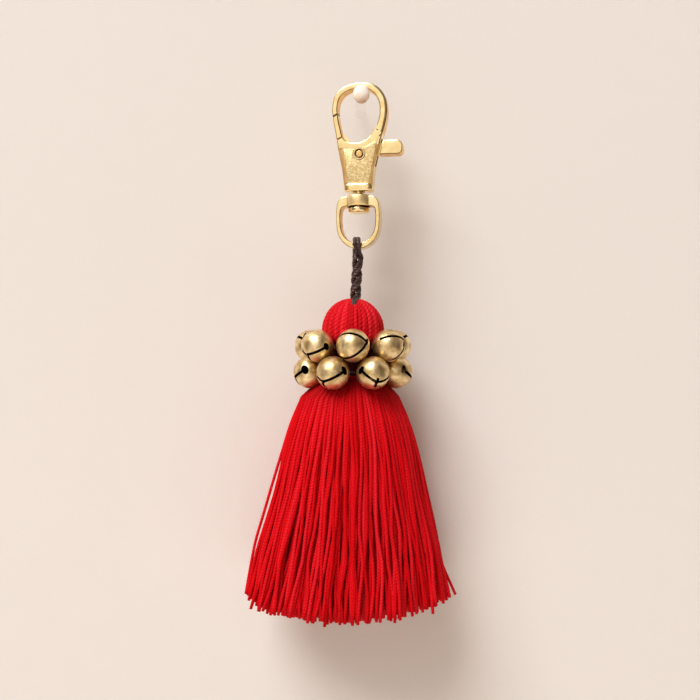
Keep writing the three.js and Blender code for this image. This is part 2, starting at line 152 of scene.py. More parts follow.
# Daylight from high up at the left in front, and a weak light from in front
soft_light("key_light", (-1.1, -1.58, 2.25), middle, size=1.65, watts=97, colour=(0.922, 0.954, 0.985))
soft_light("front_light", (-0.29, -0.95, 0.12), middle, size=0.78, watts=1.35, colour=(1.0, 0.97, 0.93))

# The room itself gives a dim warm light, brightest from the upper left in front
toward_window = (-0.25, -0.3, 0.31)
room_light = [(0.2, (0.045, 0.038, 0.032)), (0.5, (0.165, 0.1254, 0.0924)),
              (0.78, (0.235, 0.1786, 0.1316)), (1.0, (0.35, 0.28, 0.225))]
room = bpy.data.worlds.new("room")
room.use_nodes = True
way = add_node(room, "ShaderNodeTexCoord")
along_way = add_node(room, "ShaderNodeVectorMath", {
    0: way.outputs["Generated"], 1: toward_window}, operation="DOT_PRODUCT")
share_of_light = reckon(room, "ADD", along_way.outputs["Value"], 0.5)
feed(room.node_tree.nodes["Background"], "Color", colour_steps(room, share_of_light, room_light))
bpy.context.scene.world = room

# Wall pin: a moulded peg of clear, slightly milky resin with a round head. The hook hangs on
# its shank, and the head keeps it from slipping off.
mm = 0.001
hang_depth = 16
clasp_depth = 3.6
panel_rise = 0.12
head_gap = 0.9
shank_radius = 1.45
head_radius = 2.05
head_steps = 18.2
clear_part = 1
upright = Matrix.Rotation(math.radians(90), 4, "X")
as_built = Matrix.Identity(4)


def pick(piece):
    """Leaves only this piece selected, and active, for the next operator."""
    bpy.ops.object.select_all(action="DESELECT")
    bpy.context.view_layer.objects.active = piece
    piece.select_set(True)


def edit(piece):
    pick(piece)
    bpy.ops.object.mode_set(mode="EDIT")
    bpy.ops.mesh.select_all(action="SELECT")


def clean(piece):
    """Merges points that meet and turns all faces outward."""
    edit(piece)
    bpy.ops.mesh.remove_doubles(threshold=1e-4)
    bpy.ops.mesh.normals_make_consistent(inside=False)
    bpy.ops.object.mode_set(mode="OBJECT")


def turn_on_lathe(name, profile, steps=48):
    """A turned piece about Z from rows of radius and height, in millimetres."""
    mesh = bpy.data.meshes.new(name)
    mesh.from_pydata([(radius, 0, height) for radius, height in profile],
                     [(row, row + 1) for row in range(len(profile) - 1)], [])
    piece = new_object(name, mesh)
    edit(piece)
    bpy.ops.mesh.spin(steps=steps, angle=2 * math.pi, center=(0, 0, 0), axis=(0, 0, 1))
    bpy.ops.object.mode_set(mode="OBJECT")
    clean(piece)
    return piece


def smooth(piece, degrees=35):
    pick(piece)
    bpy.ops.object.shade_smooth_by_angle(angle=math.radians(degrees))


def coat(piece, finishes):
    if not piece.data.materials:
        for finish in finishes:
            piece.data.materials.append(finish)


def finish_piece(piece, place, finishes, body, slot, *nodes):
    """Brings a piece from millimetres to its place, and gives it finishes, body and nodes. Its slot is not
    used.
    """
    piece.data.transform(place @ Matrix.Scale(mm, 4))
    piece.data.update()
    coat(piece, finishes)
    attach(piece, body)
    if nodes:
        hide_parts(*nodes)


def repaint(piece, number, wanted):
    """Gives finish number to the faces for which wanted(centre, normal) holds."""
    for polygon in piece.data.polygons:
        if wanted(polygon.center, polygon.normal):
            polygon.material_index = number


# The head stands just clear of the front of the clasp. It is a little taller than wide and
# sits a little low on the shank.
pin_front = hang_depth + clasp_depth / 2 + panel_rise + head_gap
pin_profile = [(0, 0), (shank_radius, 0), (shank_radius, pin_front - 0.3), (1.5, pin_front - 0.1)]
for step in range(1, 16):
    swing = math.pi * (step + 2.2) / head_steps
    pin_profile.append((head_radius * math.sin(swing), pin_front + 1.2 - 1.2 * math.cos(swing)))
pin_profile.append((0, pin_front + 2.4))
pin = turn_on_lathe("wall_pin_resin", pin_profile, 40)
repaint(pin, clear_part, lambda centre, normal: centre.z < pin_front - 0.3)
for vertex in pin.data.vertices:
    if vertex.co.z > pin_front - 0.05:
        vertex.co.y = vertex.co.y * 1.12 - 0.5
smooth(pin, 50)

# The head is milky, and carries painted light: it is coloured paler toward its top and browner toward its
# foot. The shank is clear.
resin, resin_shader = new_finish("milky_resin", {
    "Roughness": 0.14, "Subsurface Weight": 0.6, "Subsurface Radius": (0.002, 0.0015, 0.001),
    "Subsurface Scale": 1.0})
height_in_pin = add_node(resin, "ShaderNodeSeparateXYZ", {
    0: add_node(resin, "ShaderNodeTexCoord").outputs["Object"]})
# Painted light and shade: the head's colour runs from brown at its foot to pale at its top
painted_top_light = add_node(resin, "ShaderNodeMapRange", {
    "Value": height_in_pin.outputs["Z"], "From Min": -2.9 * mm, "From Max": 0.9 * mm})
cloud = reckon(resin, "MULTIPLY", object_noise(resin, 1.6, 2.0), 0.5)
feed(resin_shader, "Base Color", colour_steps(
    resin, reckon(resin, "ADD", painted_top_light.outputs[0], cloud),
    [(0.2, (0.5, 0.31, 0.17)), (0.65, (0.82, 0.69, 0.56)), (1.0, (0.93, 0.86, 0.78))]))
clear_resin, clear_shader = new_finish("clear_resin", {"Roughness": 0.1, "Alpha": 0.09})
mottle(clear_resin, clear_shader, 2.5, 1.0, [(0.3, (0.8, 0.66, 0.52)), (0.7, (0.9, 0.8, 0.7))])
finish_piece(pin, upright, [resin, clear_resin], "clasp", "clear_resin", "wall_pin")

# Clasp body: hook, tapered body and collar are one zinc casting, plated pale gold. The hook and
# the edges are polished, and the two flat panels keep the grain of the sand finish.
clasp_place = (Matrix.Translation((-0.55 * mm, -hang_depth * mm, 0))
               @ Matrix.Rotation(math.radians(-11), 4, "Z"))

# Outlines in millimetres: x to the right, z up, zero at the height of the pin
clasp_edge = [
    (-3.46, -22.6), (-3.94, -18.4), (-4.9, -13.8), (-5.54, -10.05), (-6.32, -5.6), (-6.5, -2.6),
    (-5.45, 0.75), (-2.9, 2.55), (0.6, 3.15), (3.9, 2.5), (6.3, 0.35), (7.33, -3.1),
    (6.86, -7.4), (6.0, -10.3), (4.86, -14.9), (3.88, -19.4), (3.7, -22.6)]
hook_edge = [
    (0.3, 1.8), (3.0, 1.15), (4.85, -0.85), (5.5, -3.6), (4.9, -7.2), (3.5, -9.6), (1.4, -11.3),
    (-1.4, -11.65), (-3.5, -10.7), (-4.35, -8.3), (-4.95, -5.4), (-5.1, -2.4), (-4.1, 0.15),
    (-2.2, 1.4)]
panel_edge = [
    (-3.55, -13.3), (-2.5, -21.55), (2.95, -21.55), (4.7, -12.4), (5.0, -11.1), (3.3, -12.1),
    (1.3, -13.1), (-1.5, -13.4)]
hook_middle = (0.35, -3.9)
hook_round = 0.32
outer_lean = 0.36
rivet_place = (0.4, -14.6)
on_rivet = Matrix.Translation((rivet_place[0], 0, rivet_place[1])) @ upright
rivet_radius = 0.82
hub_radius = 1.9
hub_room = 0.45
slot_depth = 1.36
through = 8
gate_left, gate_right = -8, -3.3
gate_reach = 11.5
gate_slope = math.tan(math.radians(25))
split_side = -4.75
split_height = -10.54
side_edges = [((-5.02, -13.0), (-3.42, -22.9)), ((5.5, -12.4), (3.62, -22.9))]
chamfer_across = 1.15
chamfer_deep = 0.36


def cast_outline(name, outlines, depth, edge_round, steps=10, rounding=3):
    """A flat casting from outlines of x and z, its edges rounded. Straight outlines have sharp corners."""
    curve = bpy.data.curves.new(name, "CURVE")
    curve.dimensions = "2D"
    curve.fill_mode = "BOTH"
    for rows, bend in outlines:
        if bend == "straight":
            spline = curve.splines.new("POLY")
            spline.points.add(len(rows) - 1)
            for point, row in zip(spline.points, rows):
                point.co = (*row, 0, 1)
        else:
            spline = curve.splines.new("BEZIER")
            spline.bezier_points.add(len(rows) - 1)
            for point, row in zip(spline.bezier_points, rows):
                point.co = (*row, 0)
                point.handle_left_type = point.handle_right_type = "AUTO"
            if bend == "open_foot":
                for point in (spline.bezier_points[0], spline.bezier_points[-1]):
                    point.handle_left_type = point.handle_right_type = "VECTOR"
            spline.resolution_u = steps
        spline.use_cyclic_u = True
    curve.extrude = depth / 2 - edge_round
    curve.bevel_depth = edge_round
    curve.bevel_resolution = rounding
    curve.offset = -edge_round
    pick(new_object(name, curve))
    bpy.ops.object.convert(target="MESH")
    piece = bpy.context.object
    piece.data.materials.clear()
    piece.data.transform(upright)
    clean(piece)
    return piece


def cut(piece, tool, how="DIFFERENCE"):
    """Cuts the tool out of a piece, or keeps what they share, and uses the tool up."""
    change = piece.modifiers.new("cut", "BOOLEAN")
    change.operation = how
    change.solver = "EXACT"
    change.object = tool
    pick(piece)
    bpy.ops.object.modifier_apply(modifier=change.name)
    bpy.data.objects.remove(tool)


def join(pieces, finishes):
    bpy.ops.object.select_all(action="DESELECT")
    for piece in pieces:
        coat(piece, finishes)
        piece.select_set(True)
    bpy.context.view_layer.objects.active = pieces[0]
    bpy.ops.object.join()
    return pieces[0]


def rivet_tool(radius, depth):
    """A round bar on the rivet's axis."""
    bpy.ops.mesh.primitive_cylinder_add(vertices=40, radius=radius, depth=depth)
    tool = bpy.context.object
    tool.data.transform(on_rivet)
    return tool


def gate_region(name, margin):
    """The part of the hook that the gate takes up: a sloping split below, an arc round the rivet above."""
    reach = gate_reach + margin
    first = math.acos((gate_right - rivet_place[0]) / reach)
    last = math.acos((gate_left - rivet_place[0]) / reach)
    rows = [(x, split_height + (x - split_side) * gate_slope - margin) for x in (gate_left, gate_right)]
    for step in range(17):
        swing = first + (last - first) * step / 16
        rows.append((rivet_place[0] + reach * math.cos(swing), rivet_place[1] + reach * math.sin(swing)))
    return cast_outline(name, [(rows, "straight")], 3 * clasp_depth, 0)


def hook_band(name):
    return cast_outline(name, [(clasp_edge, "open_foot"), (hook_edge, "closed")], clasp_depth, hook_round)


def lever_outline(name, rows, depth):
    """A flat piece from an outline of x and z, measured from the rivet."""
    moved = [(rivet_place[0] + x, rivet_place[1] + z) for x, z in rows]
    return cast_outline(name, [(moved, "straight")], depth, 0)


def edge_cutter(start, end, front):
    """A box that takes the corner off a straight side edge, on the front (-1) or the back (1)."""
    bpy.ops.mesh.primitive_cube_add(size=1)
    tool = bpy.context.object
    start, end = Vector((start[0], 0, start[1])), Vector((end[0], 0, end[1]))
    run = end - start
    outward = Vector((-1, 0, 0)) if start.x < 0 else Vector((1, 0, 0))
    inner = start - outward * chamfer_across + Vector((0, front * clasp_depth / 2, 0))
    outer = start + Vector((0, front * (clasp_depth / 2 - chamfer_deep), 0))
    face = outer - inner
    normal = run.normalized().cross(face.normalized())
    if normal.dot(outward) < 0:
        normal.negate()
    side = normal.cross(run.normalized())
    tool.data.transform(Matrix.Translation((inner + outer + run) / 2 + 1.5 * normal)
                        @ Matrix((side, normal, run.normalized())).transposed().to_4x4()
                        @ Matrix.Diagonal((4 * face.length, 3, run.length, 1)))
    clean(tool)
    return tool


def plated_finish(name, colours, roughness, grain_mm, grain, wave_mm, wave, tone_mm=1.6):
    """Plated metal in two tones, its roughness between two values. Its fine grain, its slow waves
    and its patches of tone have sizes in millimetres, and grain and wave are their strengths."""
    finish, shader = new_finish(name, {"Metallic": 1.0})
    mottle(finish, shader, tone_mm, 3.0, [(0.35, colours[0]), (0.65, colours[1])])
    rough = add_node(finish, "ShaderNodeMapRange", {
        "Value": object_noise(finish, 0.7, 3.0), "From Min": 0.3, "From Max": 0.7,
        "To Min": roughness[0], "To Max": roughness[1]})
    feed(shader, "Roughness", rough.outputs["Result"])
    waves = add_node(finish, "ShaderNodeBump", {
        "Height": object_noise(finish, wave_mm, 1.0), "Strength": wave, "Distance": 0.0004})
    grains = add_node(finish, "ShaderNodeBump", {
        "Height": object_noise(finish, grain_mm, 3.0), "Strength": grain, "Distance": 0.0001,
        "Normal": waves.outputs["Normal"]})
    feed(shader, "Normal", grains.outputs["Normal"])
    return finish


polished_gold = plated_finish(
    "polished_gold", [(0.93, 0.7, 0.32), (1.0, 0.83, 0.46)], (0.14, 0.26), 0.25, 0.06, 2.2, 0.1)
# Painted half shade: a darker, more orange copy of the gold, for faces turned inward or away from the light
gold_painted_half_shade = plated_finish(
    "gold_painted_half_shade", [(0.84, 0.47, 0.13), (0.97, 0.64, 0.27)], (0.28, 0.4), 0.25, 0.08, 1.8, 0.1)
# Painted shade: a near-black copy of the gold, for gaps, hollows, undersides and roundings
gold_painted_shade = plated_finish(
    "gold_painted_shade", [(0.1, 0.05, 0.012), (0.34, 0.2, 0.06)], (0.35, 0.5), 0.2, 0.1, 1.5, 0.1)
grained_gold = plated_finish(
    "grained_gold", [(0.64, 0.42, 0.15), (0.9, 0.76, 0.44)], (0.3, 0.44), 0.28, 0.5, 2.4, 0.12, 0.5)
golds = [polished_gold, gold_painted_half_shade, gold_painted_shade, grained_gold]
polished, painted_half_shade, painted_full_shade, grained = range(4)

# The outside of the hook leans inward at its front and back edges on the right
band = hook_band("clasp_cast")
for vertex in band.data.vertices:
    x, z = vertex.co.x, vertex.co.z
    lift = (abs(vertex.co.y) - clasp_depth / 2 + hook_round) / hook_round
    if lift > 0.05 and x > 2 and z > -9.5 and math.dist((x, z), hook_middle) > 6.05:
        vertex.co.x -= outer_lean * lift * min(1.0, (x - 2) / 3)

# Room for the gate, the hub and the two arms of the lever, and the rivet's hole
cut(band, gate_region("gate_room", margin=0.33))
cut(band, rivet_tool(hub_radius + hub_room, slot_depth))
for step, rows in enumerate(([(-1.5, -2.2), (-7.5, 3.2), (-7.5, 6.2), (-1.2, 6.2), (1.2, 2.2)],
                             [(0, 2.4), (8, 4.6), (8, -3.6), (0, -2.5)])):
    cut(band, lever_outline("lever_slot", rows, slot_depth + 0.013 * (step + 1)))
cut(band, rivet_tool(rivet_radius + 0.31, through))
for start, end in side_edges:
    for front in (-1, 1):
        cut(band, edge_cutter(start, end, front))

# The casting is polished, with two nicks in its front to the right of the hook's opening. The faces of the
# nicks carry painted shade.
repaint(band, polished, lambda centre, normal: True)
for x, z, lean in ((5.55, -10.25, 32), (4.9, -8.8, -60)):
    bpy.ops.mesh.primitive_cone_add(vertices=4, radius1=0.46, radius2=0, depth=0.4)
    notch = bpy.context.object
    notch.data.transform(Matrix.Translation((x, -clasp_depth / 2 + 0.08, z))
                         @ Matrix.Rotation(math.radians(lean), 4, "Y")
                         @ Matrix.Diagonal((0.45, 1, 1.4, 1))
                         @ Matrix.Rotation(math.radians(-90), 4, "X"))
    repaint(notch, painted_full_shade, lambda centre, normal: True)
    cut(band, notch)


def from_rivet(centre):
    return math.hypot(centre.x - rivet_place[0], centre.z - rivet_place[1])


# The inside of the hook, its right side and the side chamfers carry painted half shade, and the roundings
# inside the hook and on its right carry painted shade
hook_foot = -12
opening = Vector((0.3, 0, -5.0))
repaint(band, painted_half_shade, lambda centre, normal: abs(normal.y) <= 0.35 and centre.z > hook_foot
        and (centre - opening).dot(normal) < 0)
repaint(band, painted_half_shade, lambda centre, normal: centre.z < hook_foot - 0.5 and 0.3 < abs(normal.y) < 0.96
        and abs(normal.x) > 0.25)
repaint(band, painted_full_shade, lambda centre, normal: 0.3 < abs(normal.y) < 0.8 and centre.z > hook_foot - 0.2
        and ((centre - opening).dot(normal) < 0 or normal.x > 0.3))
repaint(band, painted_half_shade, lambda centre, normal: abs(normal.y) < 0.55 and normal.x > 0.3 and centre.x > 3
        and centre.z > -9.8)

# The two splits beside the gate, the rivet's hole and the slot for the lever carry painted shade
repaint(band, painted_full_shade, lambda centre, normal: gate_left < centre.x < gate_right and abs(normal.y) < 0.3 and (
    abs(centre.z - split_height - (centre.x - split_side) * gate_slope) < 0.5
    or (abs(from_rivet(centre) - gate_reach) < 0.45 and centre.z > -9 and abs(normal.z) > 0.6)))
repaint(band, painted_full_shade, lambda centre, normal: abs(normal.y) < 0.5 and from_rivet(centre) < 1.3)
repaint(band, painted_full_shade, lambda centre, normal: abs(centre.y) < slot_depth / 2 + 0.1 and centre.z < -8
        and abs(centre.y) > 0.1 and abs(normal.y) > 0.9)

# A raised panel on each face, and round the rivet a turned ring whose sides carry painted shade
panel_depth = 1.0
ring_rows = [(1.16, 0), (1.16, 0.6), (1.21, 0.66), (1.42, 0.66), (1.52, 0.56), (1.52, 0), (1.16, 0)]
panels = []
for side in (-1, 1):
    panel = cast_outline("panel", [(panel_edge, "straight")], panel_depth, 0.1, rounding=2)
    panel.data.transform(Matrix.Translation(
        (0, side * (clasp_depth / 2 + panel_rise - panel_depth / 2), 0)))
    cut(panel, rivet_tool(1.64, through))
    repaint(panel, grained, lambda centre, normal: True)
    panels.append(panel)
    ring = turn_on_lathe("rivet_ring", ring_rows, 40)
    # The sides of the ring carry painted shade
    repaint(ring, painted_full_shade, lambda centre, normal: abs(normal.z) < 0.8)
    ring_place = (rivet_place[0], side * (clasp_depth / 2 - 0.35), rivet_place[1])
    ring.data.transform(Matrix.Translation(ring_place)
                        @ Matrix.Rotation(math.radians(90 * -side), 4, "X"))
    clean(ring)
    panels.append(ring)

# The collar is turned as a round first and then squared, wider than deep
collar_across = 3.65
collar_deep = 2.05
squareness = 5
collar_rows = [(0, -23.8), (0.55, -23.8), (0.86, -23.78), (0.94, -23.7), (0.985, -23.52), (1.0, -23.3),
               (1.005, -22.85), (1.0, -22.4), (0.985, -22.18), (0.94, -22.0), (0.86, -21.92),
               (0.55, -21.9), (0, -21.9)]
collar = turn_on_lathe("collar", collar_rows, 72)
for vertex in collar.data.vertices:
    across, back = vertex.co.x, vertex.co.y
    reach = math.hypot(across, back)
    if reach > 0:
        squared = (abs(across / reach) ** squareness + abs(back / reach) ** squareness) ** (-1 / squareness)
        crown = panel_rise * reach * (1 if back > 0 else -1) * (1 - across ** 2)
        vertex.co.x = 0.05 + collar_across * across * squared
        vertex.co.y = collar_deep * back * squared + crown
seat = turn_on_lathe("seat", [(0, -24.6), (1.55, -24.6), (1.55, -22.4), (0, -22.4)], 30)
cut(collar, seat)
clean(collar)
clasp_body = join([band, collar] + panels, golds)
smooth(clasp_body)
finish_piece(clasp_body, clasp_place, golds, "clasp", "gold", "clasp_body")

# Gate lever: the gate bar, the thin crank on the rivet and the thumb tab are cast in one piece
# and plated like the body. The crank sits in a slot in the middle of the body.
bar = hook_band("gate_lever_cast")
cut(bar, gate_region("gate_side", margin=-0.17), "INTERSECT")
arm_depth = 1.1
left_arm = [(-1.3, -1.3), (-5.75, 3.5), (-5.4, 5.6), (-4.4, 5.6), (-0.7, 1.75)]
right_arm = [(0.8, 1.7), (6.6, 3.0), (6.4, 0.4), (1.2, -1.4)]
crank = [
    lever_outline("left_arm", left_arm, arm_depth),
    lever_outline("right_arm", right_arm, arm_depth),
    rivet_tool(hub_radius, arm_depth + 0.03)]
for piece in crank:
    cut(piece, rivet_tool(rivet_radius + 0.3, through))


def round_over(start, end, centre):
    """Points of an arc from start to end about centre, in the plane of a profile."""
    first = math.atan2(start[1] - centre[1], start[0] - centre[0])
    last = math.atan2(end[1] - centre[1], end[0] - centre[0])
    reach = math.dist(start, centre)
    turns = [first + (last - first) * step / 8 for step in range(9)]
    return [(centre[0] + reach * math.cos(turn), centre[1] + reach * math.sin(turn)) for turn in turns]


tab_rows = [(5.4, -14.95)]
tab_rows += round_over((10.0, -14.95), (11.2, -13.75), (10.0, -13.75))
tab_rows += round_over((11.2, -13.0), (9.6, -11.4), (9.6, -13.0))
tab_rows += [(6.3, -11.4)]
tab = cast_outline("tab", [(tab_rows, "straight")], clasp_depth, 0.3)
# As on the body: the faces turned right and below carry painted half shade, and the roundings below and
# inside carry painted shade
for piece in (bar, tab):
    repaint(piece, painted_half_shade, lambda centre, normal: abs(normal.y) <= 0.35 and (
        centre.x > -4.9 and normal.x > 0.3 or normal.z < -0.6))
    repaint(piece, painted_full_shade, lambda centre, normal: 0.3 < abs(normal.y) < 0.9 and (
        normal.z < -0.3 or centre.x < 0 and normal.x > 0.2))
gate_lever = join([bar, tab] + crank, golds)
smooth(gate_lever)
finish_piece(gate_lever, clasp_place, golds, "gate", "gold", "gate_lever")

# Gate rivet and swivel stud: two turned pins. The rivet is riveted over in its ring, and the
# stud is pressed up into the collar with its flat head under the drum of the eye.
rivet_end = -(clasp_depth + 0.54) / 2
rivet_rows = [(0, rivet_end), (0.68, rivet_end), (0.72, rivet_end + 0.01), (0.79, rivet_end + 0.08),
              (rivet_radius, rivet_end + 0.2)]
rivet_rows += [(radius, -height) for radius, height in reversed(rivet_rows)]
gate_rivet = turn_on_lathe("gate_rivet_turned", rivet_rows, 32)
gate_rivet.data.transform(on_rivet)
smooth(gate_rivet)
warm_gold = plated_finish(
    "warm_gold", [(0.82, 0.47, 0.15), (0.95, 0.62, 0.26)], (0.16, 0.3), 0.2, 0.08, 1.4, 0.1)
finish_piece(gate_rivet, clasp_place, [warm_gold], "clasp", "gold_rivet", "gate_rivet")

stud_rows = [(0, -29.1), (1.7, -29.1), (2.2, -29.02), (2.5, -28.85), (2.65, -28.55), (2.65, -28.1),
             (2.58, -27.9), (2.4, -27.8), (1.25, -27.8), (1.25, -22.7), (0, -22.7)]
swivel_stud = turn_on_lathe("swivel_stud_turned", stud_rows, 48)
smooth(swivel_stud)
finish_piece(swivel_stud, clasp_place, [polished_gold], "clasp", "gold_rivet", "swivel_stud")

# Swivel eye: a drum bored for the stud, cast in one with the D-shaped loop under it and
# polished all over. It turns freely on the stud.
bend_height = -32
outer_shoulder = [(-3.1, -25.0), (-4.35, -25.35), (-5.15, -26.5), (-5.42, -28.1), (-5.45, bend_height)]
inner_shoulder = [(-3.05, -27.5), (-4.0, -27.85), (-4.35, -28.8), (-4.35, bend_height)]


def loop_rows(shoulder, drop):
    """An outline of the loop: the left shoulder, the bend at the bottom and the right shoulder."""
    half_width = -shoulder[-1][0]
    rows = list(shoulder)
    for step in range(1, 12):
        swing = math.pi * step / 12
        rows.append((-half_width * math.cos(swing), bend_height - drop * math.sin(swing)))
    return rows + [(-x, z) for x, z in reversed(shoulder)]


loop = cast_outline("swivel_eye_cast", [
    (loop_rows(outer_shoulder, drop=6.1), "open_foot"),
    (loop_rows(inner_shoulder, drop=4.7), "open_foot")], clasp_depth, 0.24, steps=5)
eye_middle = Vector((0, 0, bend_height))
# The inside of the loop carries painted half shade, and its roundings inside and below carry painted shade
repaint(loop, painted_half_shade, lambda centre, normal: abs(normal.y) <= 0.35 and (centre - eye_middle).dot(normal) < 0)
repaint(loop, painted_full_shade, lambda centre, normal: 0.3 < abs(normal.y) < 0.9 and (
    (centre - eye_middle).dot(normal) < 0 or normal.z < -0.35))
drum_rows = [(1.55, -27.5), (2.9, -27.5), (3.15, -27.42), (3.3, -27.2), (3.3, -25.1), (3.22, -24.85),
             (2.9, -24.68), (2.3, -24.55), (1.85, -24.5), (1.55, -24.52), (1.55, -27.5)]
bore = turn_on_lathe("bore", [(0, -28.5), (1.54, -28.5), (1.54, -23), (0, -23)], 32)
cut(loop, bore)
drum = turn_on_lathe("drum", drum_rows, 64)
satin = 3
repaint(drum, satin, lambda centre, normal: abs(normal.z) < 0.5 and centre.length > 3)
satin_gold = plated_finish(
    "satin_gold", [(0.97, 0.68, 0.3), (1.0, 0.84, 0.47)], (0.4, 0.52), 0.25, 0.12, 2.0, 0.08)
eye_golds = [polished_gold, gold_painted_half_shade, gold_painted_shade, satin_gold]
swivel_eye = join([loop, drum], eye_golds)
smooth(swivel_eye)
finish_piece(swivel_eye, clasp_place, eye_golds, "pendant", "gold", "swivel_eye")

# Cord tether: one waxed brown cord, doubled, laid over the bottom of the eye. Its legs are
# twisted together and drawn down into the head of the tassel.
cord_radius = 0.62
pair_offset = 0.41
twist_radius = 0.7
crossing_height = -43.26
half_turn = 3.75
upper_slack = 1.42
cord_top = -39
cord_foot = -50.5
cord_side = -0.75
cord_lean = 0.7
bar_inside = -36.62
bar_middle = -37.4
bar_gap = 0.3


def cord_leg(height, phase, side):
    """A point of one strand in one leg: the two legs turn about a line that leans to the left."""
    slack = upper_slack if height > crossing_height else 1
    turn = math.pi * (height - crossing_height) / (half_turn * slack) + phase
    centre = cord_side - cord_lean * (height - cord_top) / (cord_foot - cord_top)
    across = side * pair_offset
    return Vector((centre + twist_radius * math.sin(turn) + across * math.cos(turn),
                   -hang_depth - twist_radius * math.cos(turn) + across * math.sin(turn), height))


def lay_smoothly(points, steps):
    """A smooth line through points, each span cut into steps."""
    line = []
    for index in range(len(points) - 1):
        before = points[max(index - 1, 0)]
        start, end = points[index], points[index + 1]
        after = points[min(index + 2, len(points) - 1)]
        for step in range(steps):
            share = step / steps
            line.append(0.5 * (2 * start + (end - before) * share
                               + (2 * before - 5 * start + 4 * end - after) * share * share
                               + (3 * start - before - 3 * end + after) * share ** 3))
    line.append(points[-1].copy())
    return line


def wind_yarns(name, lines, sides, pitch, ply=0.0):
    """One mesh of closed tubes along lines of (point, radius). The UV map runs round and along each,
    and yarn_tone is a number for each tube. ply flattens the section between two plies, and a third
    value in a line is its painted shade, kept in painted_yarn_shade: less than 1 where the yarn lies deep."""
    points, faces, uvs, tones, painted_shades = [], [], [], [], []
    for number, line in enumerate(lines):
        start_turn = (number * 0.7548777) % 1.0
        side = Vector((0.37, -0.93, 0.05))
        along = 0.0
        first = len(points)
        for row, (centre, radius, *shade) in enumerate(line):
            painted_shades += (shade or [1.0]) * sides
            ahead = line[min(row + 1, len(line) - 1)][0] - line[max(row - 1, 0)][0]
            ahead.normalize()
            side = (side - ahead * side.dot(ahead)).normalized()
            other = ahead.cross(side)
            if row:
                along += (centre - line[row - 1][0]).length
            turn = 2 * math.pi * (along / pitch + start_turn)
            for corner in range(sides):
                swing = 2 * math.pi * corner / sides
                reach = radius * (1 - ply * abs(math.sin(swing - turn)) ** 1.5)
                points.append(centre + reach * (math.cos(swing) * side + math.sin(swing) * other))
            if row:
                for corner in range(sides):
                    after = (corner + 1) % sides
                    low = first + (row - 1) * sides
                    faces.append((low + corner, low + after, low + sides + after, low + sides + corner))
                    here = along / pitch + start_turn
                    behind = here - (centre - line[row - 1][0]).length / pitch
                    uvs += [(corner / sides, behind), ((corner + 1) / sides, behind),
                            ((corner + 1) / sides, here), (corner / sides, here)]
        last = len(points) - sides
        faces.append(tuple(reversed(range(first, first + sides))))
        uvs += [(0.5, 0)] * sides
        faces.append(tuple(range(last, last + sides)))
        uvs += [(0.5, along / pitch)] * sides
        tones += [(number * 0.5698403) % 1.0] * (len(points) - first)
    mesh = bpy.data.meshes.new(name)
    mesh.from_pydata(points, [], faces)
    layer = mesh.uv_layers.new(name="yarn_map")
    layer.data.foreach_set("uv", [value for pair in uvs for value in pair])
    for label, values in (("yarn_tone", tones), ("painted_yarn_shade", painted_shades)):
        mesh.attributes.new(label, "FLOAT", "POINT").data.foreach_set("value", values)
    mesh.polygons.foreach_set("use_smooth", [True] * len(mesh.polygons))
    mesh.update()
    return new_object(name, mesh)


bar_reach = clasp_depth / 2 + bar_gap + cord_radius
bar_top = bar_inside + bar_gap + cord_radius
over_bar = [(-bar_reach, bar_middle), (-bar_reach, bar_top - 0.9), (-bar_reach / 2, bar_top),
            (bar_reach / 2, bar_top), (bar_reach, bar_top - 0.9), (bar_reach, bar_middle)]

# Each strand starts inside the head, goes up one leg, over the bar and down the other leg
cord_lines = []
for side in (-1, 1):
    heights = [-51.2 + 0.93 * step for step in range(13)]
    route = [Vector((-1.82 + 0.12 * side, -20.6, -53.2)), Vector((-1.82 + 0.2 * side, -19.8, -51.6))]
    route += [cord_leg(height, 0, side) for height in heights[1:]]
    for y, z in over_bar:
        route.append(Vector((-1.12 + side * pair_offset, -hang_depth + y, z)))
    route += [cord_leg(height, math.pi, side) for height in reversed(heights)]
    cord_lines.append([(point, cord_radius) for point in lay_smoothly(route, 5)])
cord_tether = wind_yarns("cord_tether_waxed", cord_lines, 10, 1.5, 0.12)


